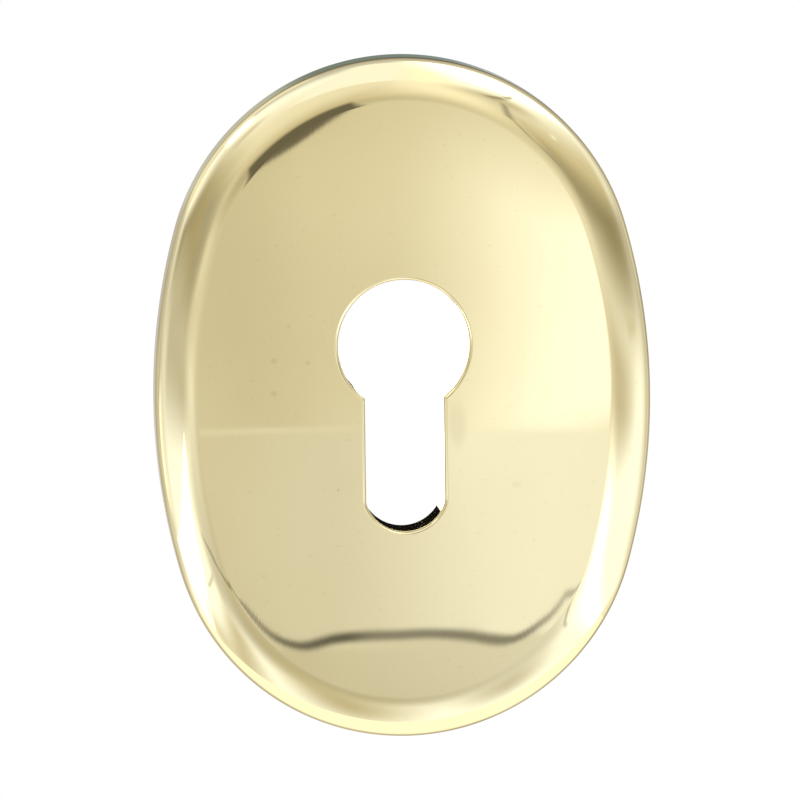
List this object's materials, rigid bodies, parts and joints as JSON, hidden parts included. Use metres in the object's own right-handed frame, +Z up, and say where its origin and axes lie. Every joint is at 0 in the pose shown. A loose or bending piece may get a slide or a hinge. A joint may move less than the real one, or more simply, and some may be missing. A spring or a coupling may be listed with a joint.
{
  "type": "keyhole escutcheon",
  "caption": "Oval polished brass keyhole escutcheon with a rolled rim and a round-over-slot cut-out for a profile lock cylinder.",
  "frame": {"origin": "where the axis of the cut-out's round meets the plane of the seat on the door", "axes": "+Z up along the oval, from the slot towards the round; the front faces -Y and the seat faces +Y; +X to the right as seen from the front"},
  "size_m": [0.066, 0.006, 0.091],
  "materials": {
    "polished_brass": "polished"
  },
  "bodies": {
    "root": {"escutcheon_plate": "polished_brass"}
  },
  "joints": []
}
